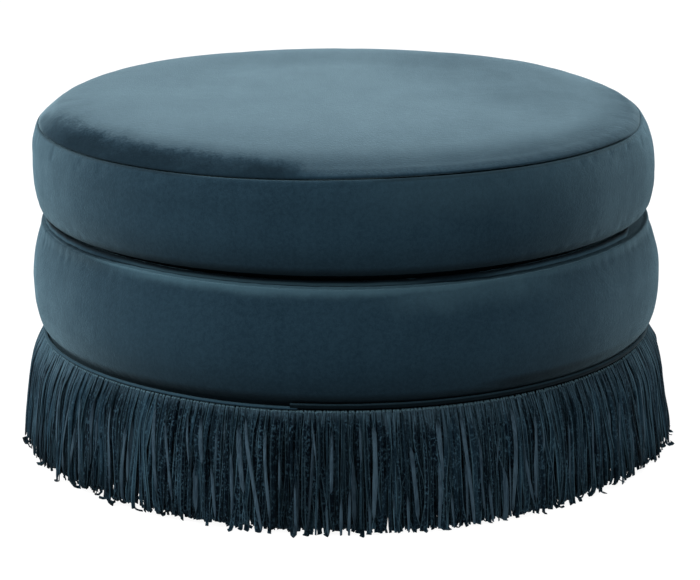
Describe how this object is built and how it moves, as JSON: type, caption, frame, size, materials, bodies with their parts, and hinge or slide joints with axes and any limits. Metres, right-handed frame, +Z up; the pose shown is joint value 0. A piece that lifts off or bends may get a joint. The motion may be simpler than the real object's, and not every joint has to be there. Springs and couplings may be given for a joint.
{
  "type": "tuffet",
  "caption": "Low round upholstered tuffet with two bulging velvet tiers, welted grooves and a deep skirt of cut velvet fringe that hides a padded plinth.",
  "frame": {"origin": "on the floor plane, at the centre of the foot glides and under the middle of the seat", "axes": "+Z up, -Y towards the viewer of the picture, +X to that viewer's right"},
  "size_m": [0.789, 0.789, 0.41],
  "materials": {
    "velvet": "satin",
    "fringe_velvet": "satin",
    "lining": "matte",
    "wadding": "matte",
    "foam": "matte",
    "webbing": "matte",
    "dust_cloth": "matte",
    "plywood": "matte",
    "pine": "matte",
    "card": "matte",
    "glide": "satin",
    "screw_steel": "satin"
  },
  "bodies": {
    "root": {"base_rail_cross": "plywood", "base_rail_long": "plywood", "base_welt": "velvet", "bottom_ring": "plywood", "bottom_screw_1": "screw_steel", "bottom_screw_2": "screw_steel", "bottom_screw_3": "screw_steel", "bottom_screw_4": "screw_steel", "bottom_screw_5": "screw_steel", "bottom_screw_6": "screw_steel", "crown_wadding": "wadding", "dust_cover": "dust_cloth", "fringe": "fringe_velvet", "fringe_header": "fringe_velvet", "glide_1": "glide", "glide_2": "glide", "glide_3": "glide", "glide_4": "glide", "glide_5": "glide", "glide_6": "glide", "glide_screw_1": "screw_steel", "glide_screw_2": "screw_steel", "glide_screw_3": "screw_steel", "glide_screw_4": "screw_steel", "glide_screw_5": "screw_steel", "glide_screw_6": "screw_steel", "lower_band_cover": "velvet", "lower_band_foam": "foam", "mid_welt": "velvet", "middle_ring": "plywood", "platform_cloth": "dust_cloth", "plinth_cover": "lining", "plinth_wadding": "wadding", "plinth_wall_panel": "plywood", "post_1": "pine", "post_2": "pine", "post_3": "pine", "post_4": "pine", "post_5": "pine", "post_6": "pine", "seat_foam": "foam", "tack_strip": "card", "top_cover": "velvet", "top_ring": "plywood", "top_screw_1": "screw_steel", "top_screw_2": "screw_steel", "top_screw_3": "screw_steel", "top_screw_4": "screw_steel", "top_screw_5": "screw_steel", "top_screw_6": "screw_steel", "upper_band_cover": "velvet", "upper_wall_panel": "plywood", "webbing_x1": "webbing", "webbing_x2": "webbing", "webbing_x3": "webbing", "webbing_x4": "webbing", "webbing_y1": "webbing", "webbing_y2": "webbing", "webbing_y3": "webbing", "webbing_y4": "webbing"}
  },
  "joints": []
}
